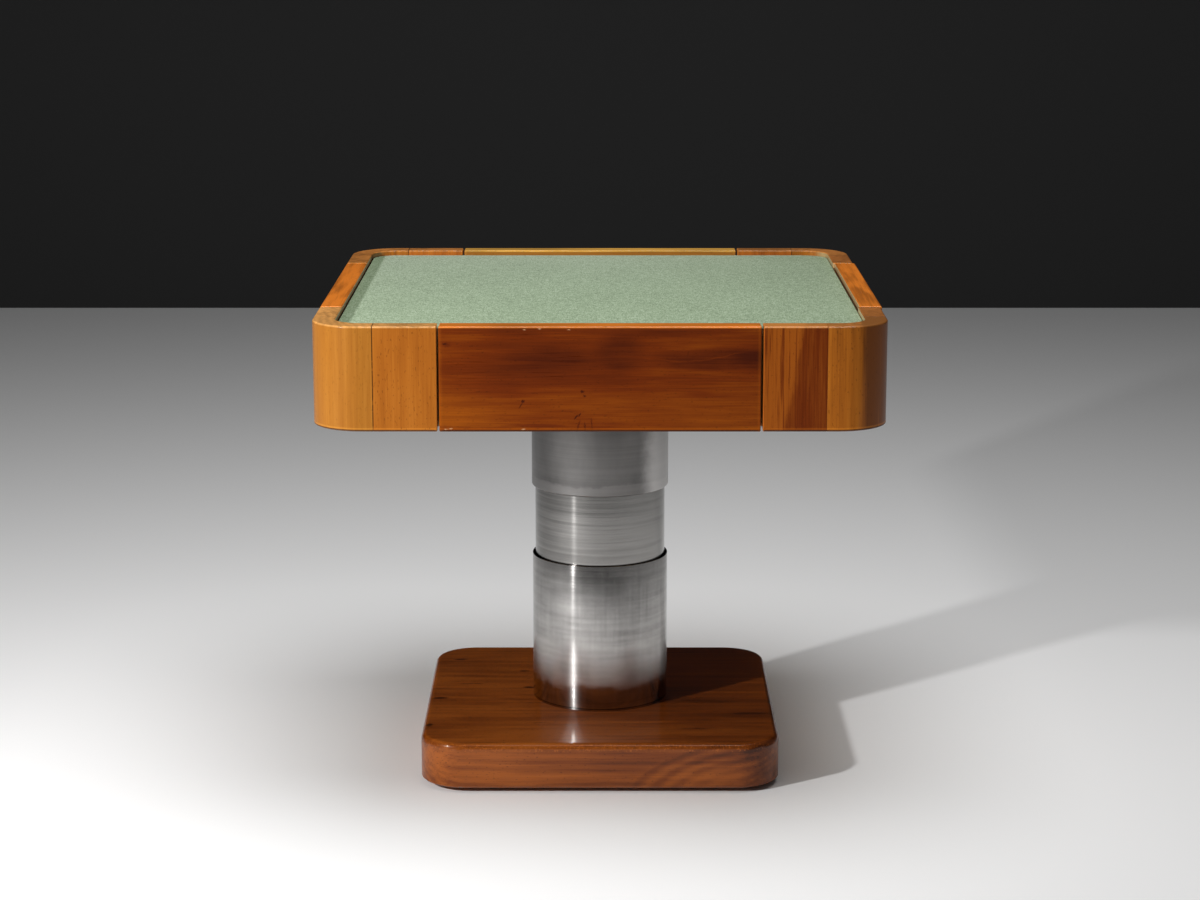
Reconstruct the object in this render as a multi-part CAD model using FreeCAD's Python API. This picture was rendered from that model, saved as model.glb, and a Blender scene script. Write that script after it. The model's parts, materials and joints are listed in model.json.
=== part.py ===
import FreeCAD, Part
import os
from math import cos, sin, radians

# An adjustable game table on a screw column.
# Lengths are millimetres. The origin is the middle of the base on the floor.
# X runs to the right, Y away from the front and Z up.

V = FreeCAD.Vector
os.makedirs("parts", exist_ok=True)

# The rim: posts, staves and drawer faces share one section
top_side = 852.0
top_height = 760.0
rim_width = 34.0
rim_height = 156.0
corner_radius = 76.0
post_straight = 17.5
rim_top_round = 3.0
round_steps = 3
rim_inner_bevel = 1.2
rim_foot_bevel = 1.2
end_ease = 1.2

# The boards inside the rim
felt_recess = 8.0
felt_thickness = 2.0
board_thickness = 18.0
board_gap = 1.5
floor_board_thickness = 15.0
floor_board_rise = 1.5
finger_notch_depth = 30.0

# Drawers. The corner between two of them is a post and two staves.
corner_length = 190.5
face_gap = 3.0
face_overhang = 9.5
drawer_held_length = 44.0
right_drawer_ajar = 3.0
drawer_clearance = 2.0
drawer_wall = 12.0
drawer_floor = 6.0
drawer_floor_groove = 5.0
drawer_floor_lift = 8.0
drawer_under_gap = 4.0
drawer_side_height = 77.0
drawer_stop_upstand = 6.0
key_length = 10.0
key_neck = 7.0
key_head = 10.0
tail_neck = 14.0
tail_head = 18.0
tail_spacing = 32.0
finger_groove_setback = 55.5
finger_groove_foot = 6.0
finger_groove_depth = 9.0
finger_groove_lip = 4.0
finger_groove_height = 18.0

# Bays that the drawers run in
bay_side_gap = 1.5
bay_wall = 15.0
core_gap = 6.0
runner_bite = 5.5
runner_slack = 0.5
runner_height = 13.6
runner_play = 0.2
runner_setback = 7.0
runner_rear_gap = 18.0
runner_rise = 46.5
groove_stop_gap = 1.0
batten = 25.0
stop_width = 15.0
stop_height = 10.0
stop_side_gap = 26.0
stop_gap = 1.0

# Base
base_side = 563.0
base_corner_radius = 68.0
base_thickness = 72.0
base_top_round = 10.0
base_foot_bevel = 3.0
foot_height = 8.0
foot_radius = 25.0
foot_inset = 66.5

# Column. The sleeves can close by their gap, less the stop gap.
sleeve_wall = 3.0
lower_wall = 2.0
middle_radius = 105.0
sleeve_clearance = 2.5
sleeve_gap = 114.0
sleeve_stop_gap = 4.0
upper_extra_height = 32.0
upper_bevel = 1.2
lift_reserve = 18.0
carriage_foot_gap = 6.0
pad_count = 3
pad_angle = 24.0
pad_height = 15.0
pad_inset = 3.0
pad_gap = 0.1
column_flange_thickness = 10.0
tube_radius = 35.0
tube_bore = 30.0
spindle_radius = 22.0
spindle_flange_radius = 60.0
spindle_flange_thickness = 12.0
running_gap = 0.05
nut_width = 80.0
nut_height = 42.0
nut_room = 29.0
carrier_thickness = 10.0
collar_radius = 32.0
collar_thickness = 9.7
collar_gap = 0.3
rod_radius = 6.0
rod_edge_distance = 27.0
rod_count = 3
rod_spare = 7.0
plate_margin = 20.0
plate_thickness = 8.0

# Fasteners
bolt_radius = 5.0
bolt_head_width = 16.0
bolt_head_height = 7.0
bolt_grip = 40.0
bolt_edge_distance = 23.5

# How far a cutting shape runs past what it cuts
overrun = 1.0

# Heights and faces that follow from the sizes above
half = top_side / 2
inner = half - rim_width
rim_foot = top_height - rim_height
felt_top = top_height - felt_recess
playing_top = felt_top - felt_thickness
playing_bottom = playing_top - board_thickness
deck_bottom = playing_bottom - board_thickness
plate_bottom = deck_bottom - plate_thickness
floor_bottom = rim_foot + floor_board_rise
floor_top = floor_bottom + floor_board_thickness
arc_centre = half - corner_radius
post_start = arc_centre - post_straight

face_half = half - corner_length
stave_start = face_half + face_gap
drawer_half_width = face_half - face_overhang
box_rear = -drawer_half_width - drawer_clearance
drawer_travel = box_rear + inner - drawer_held_length
drawer_foot = floor_top + drawer_under_gap
drawer_side_top = drawer_foot + drawer_side_height
panel_bottom = drawer_foot + drawer_floor_lift
panel_top = panel_bottom + drawer_floor
bay_inner = drawer_half_width + bay_side_gap
bay_outer = bay_inner + bay_wall
core_half = -box_rear - core_gap
runner_middle = floor_top + runner_rise

base_top = foot_height + base_thickness
foot_offset = base_side / 2 - foot_inset
flange_top = base_top + column_flange_thickness
upper_inner = middle_radius + sleeve_clearance
upper_radius = upper_inner + sleeve_wall
middle_inner = middle_radius - sleeve_wall
lower_inner = middle_radius + sleeve_clearance
lower_radius = lower_inner + lower_wall
rod_circle = middle_inner - rod_edge_distance
flange_bolt_circle = lower_inner - bolt_edge_distance
lower_height = (plate_bottom - base_top - sleeve_gap - upper_extra_height) / 2
lower_rim = base_top + lower_height
upper_bottom = lower_rim + sleeve_gap
drop = sleeve_gap - sleeve_stop_gap
rod_top = plate_bottom - drop - rod_spare
carrier_top = rod_top - lift_reserve - rod_spare
carrier_bottom = carrier_top - carrier_thickness
carriage_bottom = flange_top + drop + carriage_foot_gap
collar_bottom = carrier_bottom - collar_gap - collar_thickness
nut_top = collar_bottom - drop - nut_room

QUARTERS = ("front", "right", "back", "left")


def box(x0, x1, y0, y1, z0, z1):
    return Part.makeBox(x1 - x0, y1 - y0, z1 - z0, V(x0, y0, z0))


def rod(radius, z0, z1, x=0, y=0):
    return Part.makeCylinder(radius, z1 - z0, V(x, y, z0))


def tube(outer, bore, z0, z1, x=0, y=0):
    return rod(outer, z0, z1, x, y).cut(rod(bore, z0 - overrun, z1 + overrun, x, y))


def quarter_turned(shape, quarter):
    turned = shape.copy()
    turned.rotate(V(0, 0, 0), V(0, 0, 1), quarter * 90)
    return turned


def circle_points(radius, count, first_angle=0):
    angles = [radians(first_angle + 360 * n / count) for n in range(count)]
    return [(radius * cos(a), radius * sin(a)) for a in angles]


def edges_at(shape, test):
    return [e for e in shape.Edges if test(e.BoundBox)]


def rounded_square(half_side, radius, z0, z1):
    block = box(-half_side, half_side, -half_side, half_side, z0, z1)
    upright = [e for e in block.Edges if e.BoundBox.ZLength > (z1 - z0) / 2]
    return block.makeFillet(radius, upright)


def prism(points, z0, z1):
    outline = Part.makePolygon([V(x, y, z0) for x, y in points + points[:1]])
    return Part.Face(outline).extrude(V(0, 0, z1 - z0))


def bolts(places, seat_z, up, grip):
    """Hexagon bolts: each shank runs from its seat towards up, and its head stands on the other side."""
    corner_radius_of_head = bolt_head_width / 2 / cos(radians(30))
    corners = circle_points(corner_radius_of_head, 6)
    solids = []
    for x, y in places:
        low, high = sorted((seat_z, seat_z - up * bolt_head_height))
        head = prism([(x + dx, y + dy) for dx, dy in corners], low, high)
        low, high = sorted((seat_z, seat_z + up * grip))
        solids.append(head.fuse(rod(bolt_radius, low, high, x, y)))
    return solids


def rounding(radius, top):
    """Points (inwards, z) of an outer top edge that is rounded in a few flats, from the outside up."""
    angles = [radians(90 * step / round_steps) for step in range(round_steps + 1)]
    return [(radius * (1 - cos(a)), top - radius * (1 - sin(a))) for a in angles]


def rim_section(place):
    """The section of the rim as a face: place(inwards, z) gives each corner in space."""
    outline = [
        (rim_width - rim_inner_bevel, top_height),
        (rim_width, top_height - rim_inner_bevel),
        (rim_width, rim_foot),
        (rim_foot_bevel, rim_foot),
        (0, rim_foot + rim_foot_bevel),
    ]
    outline += rounding(rim_top_round, top_height)
    corners = [place(inwards, z) for inwards, z in outline]
    return Part.Face(Part.makePolygon(corners + corners[:1]))


def rim_straight(x0, x1):
    section = rim_section(lambda inwards, z: V(x0, inwards - half, z))
    return section.extrude(V(x1 - x0, 0, 0))


def eased_end(piece, x):
    ends = edges_at(piece, lambda b: b.XLength < end_ease and abs(b.XMin - x) < end_ease)
    return piece.makeChamfer(end_ease, ends)


# Corner posts and staves
def corner_post():
    """The front right post: a quarter turn of the rim section with a short straight at each end."""
    section = rim_section(lambda inwards, z: V(arc_centre, inwards - half, z))
    bend = section.revolve(V(arc_centre, -arc_centre, 0), V(0, 0, 1), 90)
    first = rim_straight(post_start, arc_centre)
    second = quarter_turned(rim_straight(-arc_centre, -post_start), 1)
    return bend.fuse([first, second]).removeSplitter()


def stave(side):
    piece = rim_straight(stave_start, post_start)
    piece = eased_end(piece, stave_start)
    return piece if side > 0 else piece.mirror(V(0, 0, 0), V(1, 0, 0))


# Drawers, drawn at the front
def dovetail_key(side):
    """Plan of the sliding dovetail at the front end of a drawer side."""
    middle = side * (drawer_half_width - drawer_wall / 2)
    neck, head = key_neck / 2, key_head / 2
    near, far = -inner, -inner - key_length
    return [(middle - neck, near), (middle + neck, near), (middle + head, far), (middle - head, far)]


def tails(side):
    """The two dovetails at the rear end of a drawer side, seen from the side and cut right through."""
    x0 = side * drawer_half_width
    across = V(-side * drawer_wall, 0, 0)
    rear, shoulder = box_rear, box_rear - drawer_wall
    solids = []
    for offset in (-tail_spacing / 2, tail_spacing / 2):
        middle = runner_middle + offset
        corners = [
            V(x0, shoulder, middle - tail_neck / 2),
            V(x0, rear, middle - tail_head / 2),
            V(x0, rear, middle + tail_head / 2),
            V(x0, shoulder, middle + tail_neck / 2),
        ]
        outline = Part.makePolygon(corners + corners[:1])
        solids.append(Part.Face(outline).extrude(across))
    return solids


def runner_groove(side):
    """Space that the runner needs in the outside of a drawer side, open at the rear."""
    depth = runner_bite + runner_slack
    tall = runner_height / 2 + runner_play
    x0, x1 = sorted((side * (drawer_half_width - depth), side * (drawer_half_width + overrun)))
    front = -inner + runner_setback - groove_stop_gap
    return box(x0, x1, front, box_rear + overrun, runner_middle - tall, runner_middle + tall)


def drawer_side(side):
    x0, x1 = sorted((side * (drawer_half_width - drawer_wall), side * drawer_half_width))
    blank = box(x0, x1, -inner, box_rear - drawer_wall, drawer_foot, drawer_side_top)
    below_back = box(x0, x1, box_rear - drawer_wall, box_rear, drawer_foot, panel_top)
    key = prism(dovetail_key(side), drawer_foot, drawer_side_top)
    piece = blank.fuse([below_back, key] + tails(side))
    edge = drawer_half_width - drawer_wall
    g0, g1 = sorted((side * (edge - overrun), side * (edge + drawer_floor_groove)))
    floor_groove = box(g0, g1, -inner - overrun, box_rear + overrun, panel_bottom, panel_top)
    return piece.cut([floor_groove, runner_groove(side)]).removeSplitter()


def drawer_back():
    rear = box_rear
    high = drawer_side_top + drawer_stop_upstand
    inside = drawer_half_width - drawer_wall
    board = box(-drawer_half_width, drawer_half_width, rear - drawer_wall, rear, panel_top, drawer_side_top)
    upstand = box(-inside, inside, rear - drawer_wall, rear, drawer_side_top, high)
    board = board.fuse(upstand)
    cuts = tails(-1) + tails(1) + [runner_groove(-1), runner_groove(1)]
    return board.cut(cuts).removeSplitter()


def drawer_bottom():
    """A thin board in grooves all round, narrower where it enters the face between the two keys."""
    inside = drawer_half_width - drawer_wall
    reach = inside + drawer_floor_groove
    panel = box(-reach, reach, -inner, box_rear, panel_bottom, panel_top)
    tongue = box(-inside, inside, -inner - drawer_floor_groove, -inner, panel_bottom, panel_top)
    return panel.fuse(tongue).removeSplitter()


def finger_groove():
    """A groove with a steep lower flank along the inside of the face, for the fingertips."""
    start, low = finger_groove_setback - face_half, rim_foot + finger_groove_foot
    corners = [
        V(start, -inner, low),
        V(start, -inner - finger_groove_depth, low + finger_groove_lip),
        V(start, -inner, low + finger_groove_height),
    ]
    outline = Part.makePolygon(corners + corners[:1])
    return Part.Face(outline).extrude(V(-2 * start, 0, 0))


def drawer_face():
    face = rim_straight(-face_half, face_half)
    for end in (-face_half, face_half):
        face = eased_end(face, end)
    cuts = [prism(dovetail_key(side), rim_foot - overrun, drawer_side_top) for side in (-1, 1)]
    inside = drawer_half_width - drawer_wall
    groove_end = -inner - drawer_floor_groove
    cuts.append(box(-inside, inside, groove_end, -inner + overrun, panel_bottom, panel_top))
    cuts.append(finger_groove())
    return face.cut(cuts).removeSplitter()


# Inside of the top
def deck_board():
    """Fits between the staves, with room behind each drawer face."""
    board = rounded_square(inner, corner_radius - rim_width, deck_bottom, playing_bottom)
    low, high = deck_bottom - overrun, playing_bottom + overrun
    relief = box(-stave_start, stave_start, -inner - overrun, -inner + board_gap, low, high)
    return board.cut([quarter_turned(relief, quarter) for quarter in range(4)])


def floor_boards():
    """Two halves that close round the column, with a notch for the fingers behind each drawer face."""
    board = rounded_square(inner, corner_radius - rim_width, floor_bottom, floor_top)
    low, high = floor_bottom - overrun, floor_top + overrun
    reach = -inner + finger_notch_depth
    notch = box(-drawer_half_width, drawer_half_width, -inner - overrun, reach, low, high)
    cuts = [quarter_turned(notch, quarter) for quarter in range(4)]
    cuts.append(rod(upper_radius + board_gap, low, high))
    board = board.cut(cuts)
    right_side = box(0, half, -half, half, low, high)
    return [board.common(right_side), board.cut(right_side)]


def rod_places():
    return circle_points(rod_circle, rod_count, 90)


def flange_bolt_places():
    """Between the guide rods."""
    return circle_points(flange_bolt_circle, rod_count, 90 + 180 / rod_count)


def bay_walls():
    solids = []
    for quarter in range(4):
        front = -inner + board_gap
        long_wall = box(-bay_outer, -bay_inner, front, -bay_inner, floor_top, deck_bottom)
        short_wall = box(bay_inner, bay_outer, front, -bay_outer, floor_top, deck_bottom)
        solids += [quarter_turned(wall, quarter) for wall in (long_wall, short_wall)]
    return solids


def core_walls():
    near, far = -core_half, core_half - bay_wall
    wall = box(near, far, near, near + bay_wall, floor_top, deck_bottom)
    return [quarter_turned(wall, quarter) for quarter in range(4)]


def corner_battens():
    solids = []
    for z0 in (floor_top, deck_bottom - batten):
        right = box(bay_outer, post_start, -inner, batten - inner, z0, z0 + batten)
        left = right.mirror(V(0, 0, 0), V(1, 0, 0))
        for quarter in range(4):
            solids += [quarter_turned(piece, quarter) for piece in (right, left)]
    return solids


def drawer_runners():
    low, high = runner_middle - runner_height / 2, runner_middle + runner_height / 2
    front, rear = -inner + runner_setback, box_rear - runner_rear_gap
    right = box(drawer_half_width - runner_bite, bay_inner, front, rear, low, high)
    left = right.mirror(V(0, 0, 0), V(1, 0, 0))
    return [quarter_turned(piece, quarter) for quarter in range(4) for piece in (right, left)]


def stop_battens():
    rear = box_rear - drawer_wall - drawer_travel - stop_gap
    end = drawer_half_width - stop_side_gap
    bar = box(-end, end, rear - stop_width, rear, deck_bottom - stop_height, deck_bottom)
    return [quarter_turned(bar, quarter) for quarter in range(4)]


# Base and column
def slab_section(place):
    """The section of the base from its edge inwards to where its rounded corners turn."""
    outline = [
        (base_corner_radius, base_top),
        (base_corner_radius, foot_height),
        (base_foot_bevel, foot_height),
        (0, foot_height + base_foot_bevel),
    ]
    outline += rounding(base_top_round, base_top)
    corners = [place(inwards, z) for inwards, z in outline]
    return Part.Face(Part.makePolygon(corners + corners[:1]))


def base_slab():
    edge = base_side / 2
    turn = edge - base_corner_radius
    slab = box(-turn, turn, -turn, turn, foot_height, base_top)
    section = slab_section(lambda inwards, z: V(turn, inwards - edge, z))
    corner = section.revolve(V(turn, -turn, 0), V(0, 0, 1), 90)
    side = section.extrude(V(-2 * turn, 0, 0))
    rim = [quarter_turned(piece, quarter) for quarter in range(4) for piece in (corner, side)]
    slab = slab.fuse(rim).removeSplitter()
    low, high = flange_top - bolt_grip, base_top + overrun
    return slab.cut([rod(bolt_radius, low, high, x, y) for x, y in flange_bolt_places()])


def feet():
    places = [(x, y) for x in (-foot_offset, foot_offset) for y in (-foot_offset, foot_offset)]
    return [rod(foot_radius, 0, foot_height, x, y) for x, y in places]


def hexagon(corner_radius_of_plate, z0, z1):
    """A hexagonal plate or block on the column's axis, with corners towards the bolts and the rods."""
    return prism(circle_points(corner_radius_of_plate, 6, 30), z0, z1)


def column_flange():
    """The plate that centres the lower sleeve and carries the column tube and the guide rods."""
    plate = hexagon(lower_inner - pad_gap, base_top, flange_top)
    low, high = base_top - overrun, flange_top + overrun
    return plate.cut([rod(bolt_radius, low, high, x, y) for x, y in flange_bolt_places()])


def spindle_nut():
    """A hexagonal block on top of the column tube."""
    low = nut_top - nut_height
    block = hexagon(nut_width / 2 / cos(radians(30)), low, nut_top)
    return block.cut(rod(spindle_radius + running_gap, low - overrun, nut_top + overrun))


def carrier_plate():
    """Closes the top of the middle sleeve. The collars carry it and the rods keep it from turning."""
    plate = hexagon(middle_inner, carrier_bottom, carrier_top)
    low, high = carrier_bottom - overrun, carrier_top + overrun
    cuts = [rod(spindle_radius + running_gap, low, high)]
    cuts += [rod(rod_radius + running_gap, low, high, x, y) for x, y in rod_places()]
    return plate.cut(cuts)


def spindle():
    """The screw, with its fixing flange and the two collars that hold the carrier plate between them."""
    shaft = rod(spindle_radius, carriage_bottom, plate_bottom)
    flange = rod(spindle_flange_radius, plate_bottom - spindle_flange_thickness, plate_bottom)
    under = rod(collar_radius, collar_bottom, collar_bottom + collar_thickness)
    over = rod(collar_radius, carrier_top + collar_gap, carrier_top + collar_gap + collar_thickness)
    return shaft.fuse([flange, under, over]).removeSplitter()


def top_plate():
    edge = upper_radius + plate_margin
    return box(-edge, edge, -edge, edge, plate_bottom, deck_bottom)


def upper_sleeve():
    """The outermost sleeve, bevelled round the outside of its foot."""
    shell = tube(upper_radius, upper_inner, upper_bottom, plate_bottom)
    outside = 2 * upper_inner + overrun
    foot = edges_at(shell, lambda b: b.ZMax < upper_bottom + overrun and b.XLength > outside)
    return shell.makeChamfer(upper_bevel, foot)


def glide_pads(outer, bore, bottom):
    """Short arcs of a ring, a little above the foot of the sleeve that carries them."""
    z0 = bottom + pad_inset
    ring = tube(outer, bore, z0, z0 + pad_height)
    pads = []
    for x, y in circle_points(outer, pad_count, 90):
        reach = sin(radians(pad_angle / 2)) / cos(radians(pad_angle / 2))
        wedge = [(0, 0), (x + reach * y, y - reach * x), (x - reach * y, y + reach * x)]
        pads.append(ring.common(prism(wedge, z0 - overrun, z0 + pad_height + overrun)))
    return pads


# Playing board and its felt, loose inside the rim by the width of the gap
panel_half, panel_radius = inner - board_gap, corner_radius - rim_width - board_gap

# Every piece by name, as a list of its solids
pieces = {
    "base_slab": [base_slab()],
    "feet": feet(),
    "column_flange": [column_flange()],
    "flange_bolts": bolts(flange_bolt_places(), flange_top, -1, bolt_grip),
    "column_tube": [tube(tube_radius, tube_bore, flange_top, nut_top - nut_height)],
    "spindle_nut": [spindle_nut()],
    "guide_rods": [rod(rod_radius, flange_top, rod_top, x, y) for x, y in rod_places()],
    "lower_sleeve": [tube(lower_radius, lower_inner, base_top, lower_rim)],
    "middle_sleeve": [tube(middle_radius, middle_inner, carriage_bottom, carrier_top)],
    "middle_glide_pads": glide_pads(lower_inner - pad_gap, middle_radius, carriage_bottom),
    "carrier_plate": [carrier_plate()],
    "spindle": [spindle()],
    "top_plate": [top_plate()],
    "upper_sleeve": [upper_sleeve()],
    "upper_glide_pads": glide_pads(upper_inner, middle_radius + pad_gap, upper_bottom),
    "deck_board": [deck_board()],
    "playing_board": [rounded_square(panel_half, panel_radius, playing_bottom, playing_top)],
    "playing_felt": [rounded_square(panel_half, panel_radius, playing_top, felt_top)],
    "floor_boards": floor_boards(),
    "bay_walls": bay_walls(),
    "core_walls": core_walls(),
    "corner_battens": corner_battens(),
    "drawer_runners": drawer_runners(),
    "stop_battens": stop_battens(),
}

# The four posts and the eight staves, named by the side of the table and the end of that side
post_names = ("post_front_right", "post_back_right", "post_back_left", "post_front_left")
left_stave_names = ("stave_front_left", "stave_right_front", "stave_back_right", "stave_left_back")
right_stave_names = ("stave_front_right", "stave_right_back", "stave_back_left", "stave_left_front")
post, left_stave, right_stave = corner_post(), stave(-1), stave(1)
for quarter in range(4):
    pieces[post_names[quarter]] = [quarter_turned(post, quarter)]
    pieces[left_stave_names[quarter]] = [quarter_turned(left_stave, quarter)]
    pieces[right_stave_names[quarter]] = [quarter_turned(right_stave, quarter)]

# The four drawers. The right one stands a little open.
drawer = {
    "face": [drawer_face()],
    "sides": [drawer_side(-1), drawer_side(1)],
    "back": [drawer_back()],
    "bottom": [drawer_bottom()],
}
for quarter, name in enumerate(QUARTERS):
    opened = right_drawer_ajar if name == "right" else 0
    for piece, solids in drawer.items():
        placed = []
        for solid in solids:
            moved = solid.copy()
            moved.translate(V(0, -opened, 0))
            placed.append(quarter_turned(moved, quarter))
        pieces[name + "_drawer_" + piece] = placed

for name, solids in pieces.items():
    shape = solids[0] if len(solids) == 1 else Part.makeCompound(solids)
    shape.exportStep("parts/" + name + ".step")
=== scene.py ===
# %% [markdown]
# The object is a square game table on an adjustable column. Its top turns on a screw to rise
# and sink, a drawer slides out of each side, and a square block of wood is its foot. The packed
# model already holds every piece at its real size, so this lesson dresses those pieces. It gives
# the wood its grain, the metal its turned and polished finish and the playing board its cloth.
# First the imported model is loaded.

# %% Load the frame
import json
from math import cos, hypot, pi, radians, sin

import bpy
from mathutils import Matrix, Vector


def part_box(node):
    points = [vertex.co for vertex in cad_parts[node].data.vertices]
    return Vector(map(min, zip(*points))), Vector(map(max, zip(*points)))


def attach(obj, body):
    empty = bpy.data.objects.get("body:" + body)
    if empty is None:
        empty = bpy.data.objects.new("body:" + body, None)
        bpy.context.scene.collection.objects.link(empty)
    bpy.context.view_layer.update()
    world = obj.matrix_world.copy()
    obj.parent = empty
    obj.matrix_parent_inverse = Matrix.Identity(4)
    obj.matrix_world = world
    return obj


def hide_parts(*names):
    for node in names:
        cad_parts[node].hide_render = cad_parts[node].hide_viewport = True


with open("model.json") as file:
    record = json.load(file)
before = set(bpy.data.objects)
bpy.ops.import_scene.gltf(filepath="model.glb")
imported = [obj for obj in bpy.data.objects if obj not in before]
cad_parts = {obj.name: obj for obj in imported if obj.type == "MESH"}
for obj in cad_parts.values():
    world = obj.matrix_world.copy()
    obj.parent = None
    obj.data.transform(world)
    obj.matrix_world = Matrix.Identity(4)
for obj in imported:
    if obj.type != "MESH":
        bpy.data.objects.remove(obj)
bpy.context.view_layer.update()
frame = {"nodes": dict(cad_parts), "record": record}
nodes = frame["nodes"]
nodes_of_body = frame["record"]["behaviour"]["bodies"]
body_of_node = {node: body for body, group in nodes_of_body.items() for node in group}

# %% [markdown]
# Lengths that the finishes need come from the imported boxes. A box gives the lowest and highest
# corner of a piece in metres, so the finishes follow the table when its sizes change. The deck
# board ends where the rim's inner wall begins. Seams and gaps lie at the same distance left and
# right of the middle on all four sides.

# %% Sizes read from the table
post_low, post_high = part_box("post_front_right")
felt_low, felt_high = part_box("playing_felt")
slab_low, slab_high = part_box("base_slab")
rim_foot, rim_top = post_low.z, post_high.z
cloth_top = felt_high.z
slab_front, slab_top = slab_low.y, slab_high.z
inner_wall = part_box("deck_board")[1].x
gap_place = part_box("front_drawer_face")[1].x
seam_place = post_low.x
print("side", round(2 * post_high.x, 4), "height", round(rim_top, 4))

# %% [markdown]
# A few helpers keep the modelling short. Operators act on whatever is selected, and the packed
# pieces arrive selected, so everything is deselected before each step. Faces and edges are then
# picked in code by where they are or which way they face.

# %% Helpers for selecting and editing
def start_with(obj):
    """Makes obj the only selected and active object."""
    bpy.ops.object.select_all(action="DESELECT")
    obj.select_set(True)
    bpy.context.view_layer.objects.active = obj


def edit(obj, mode):
    """Opens obj for editing with nothing selected. Mode is VERT, EDGE or FACE."""
    start_with(obj)
    bpy.ops.object.mode_set(mode="EDIT")
    bpy.ops.mesh.select_mode(type=mode)
    bpy.ops.mesh.select_all(action="DESELECT")


def done():
    bpy.ops.object.mode_set(mode="OBJECT")


def pick(obj, kind, test):
    """Selects only the faces or edges of an open mesh for which the test holds."""
    bpy.ops.mesh.select_all(action="DESELECT")
    bpy.ops.object.mode_set(mode="OBJECT")
    points = obj.data.vertices
    for item in getattr(obj.data, kind):
        item.select = test(item, [points[i].co for i in item.vertices])
    bpy.ops.object.mode_set(mode="EDIT")


def add_modifier(obj, kind, **settings):
    """Adds a modifier with these settings and applies it."""
    start_with(obj)
    modifier = obj.modifiers.new(kind.title(), kind)
    for name, value in settings.items():
        setattr(modifier, name, value)
    bpy.ops.object.modifier_apply(modifier=modifier.name)


def smooth(obj, angle):
    start_with(obj)
    bpy.ops.object.shade_smooth_by_angle(angle=radians(angle))


def settle(obj, name, body, material, slot, *stands_for):
    """Names a finished piece, puts its place into its mesh, and ties it to its body."""
    start_with(obj)
    bpy.ops.object.transform_apply(location=True, rotation=True, scale=True)
    obj.name = name
    obj.data.name = name
    obj.data.materials.clear()
    obj.data.materials.append(material)
    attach(obj, body)
    if stands_for:
        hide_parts(*stands_for)

# %% [markdown]
# A material is a small sum of patterns. Writing it node by node hides the sum, so one class holds
# a socket and turns Python's own signs into Math nodes. A second class holds the material and has
# one method that adds any other node, with its settings first and its sockets after.

# %% Helpers for materials
class Wire:
    """An output socket. Arithmetic on it adds Math nodes to its material."""

    def __init__(self, recipe, socket):
        self.recipe, self.socket = recipe, socket

    def maths(self, operation, *values):
        return self.recipe.maths(operation, self, *values)

    def __add__(self, other):
        return self.maths("ADD", other)

    def __sub__(self, other):
        return self.maths("SUBTRACT", other)

    def __mul__(self, other):
        return self.maths("MULTIPLY", other)

    def __truediv__(self, other):
        return self.maths("DIVIDE", other)

    def __rsub__(self, other):
        return self.recipe.maths("SUBTRACT", other, self)

    __radd__ = __add__
    __rmul__ = __mul__

    def part(self, name):
        """Another output of the same node."""
        return Wire(self.recipe, self.socket.node.outputs[name])


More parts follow.
